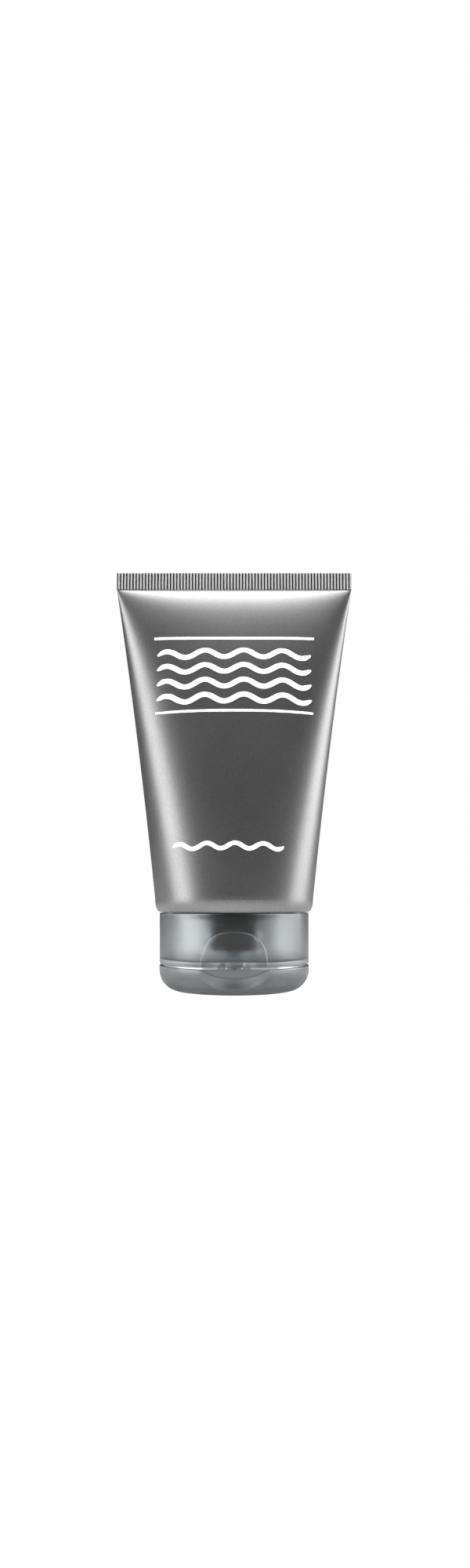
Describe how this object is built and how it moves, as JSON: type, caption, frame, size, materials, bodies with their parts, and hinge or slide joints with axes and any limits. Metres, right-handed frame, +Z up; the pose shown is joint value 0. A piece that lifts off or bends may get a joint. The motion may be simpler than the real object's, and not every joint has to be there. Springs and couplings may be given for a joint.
{
  "type": "shaving cream tube",
  "caption": "Soft squeeze tube with a ribbed flat crimp, standing on a round flip-top cap; the hinged lid swings down and back to free a central spout.",
  "frame": {"origin": "middle of the lid's flat underside, on the surface that the tube stands on", "axes": "+Z up along the tube from the lid to the crimp, -Y out of the printed front with the thumb recess, +X along the crimp to the right seen from the front"},
  "size_m": [0.0774, 0.05, 0.135],
  "materials": {
    "metallic_sleeve": "satin silver-grey metallic lacquer on a plastic laminate, with plain white print",
    "dark_head": "opaque dark grey moulded polyethylene",
    "white_print": "opaque white print ink, plain rules and waves",
    "cream": "soft white cream",
    "frosted_cap": "translucent frosted blue-grey moulded polypropylene"
  },
  "bodies": {
    "tube": {"tube_sleeve": "metallic_sleeve", "tube_head": "dark_head", "shaving_cream": "cream", "cap_collar": "frosted_cap", "neck_socket": "frosted_cap", "pour_spout": "frosted_cap", "hinge_leaf_collar": "frosted_cap"},
    "lid": {"lid_shell": "frosted_cap", "lid_plug": "frosted_cap", "hinge_leaf_lid": "frosted_cap"}
  },
  "joints": [
    {"name": "lid_hinge", "type": "hinge", "parent": "tube", "child": "lid", "pos_m": [0, 0.023, 0.0081], "axis": [1, 0, 0], "range_deg": [0, 150]}
  ]
}
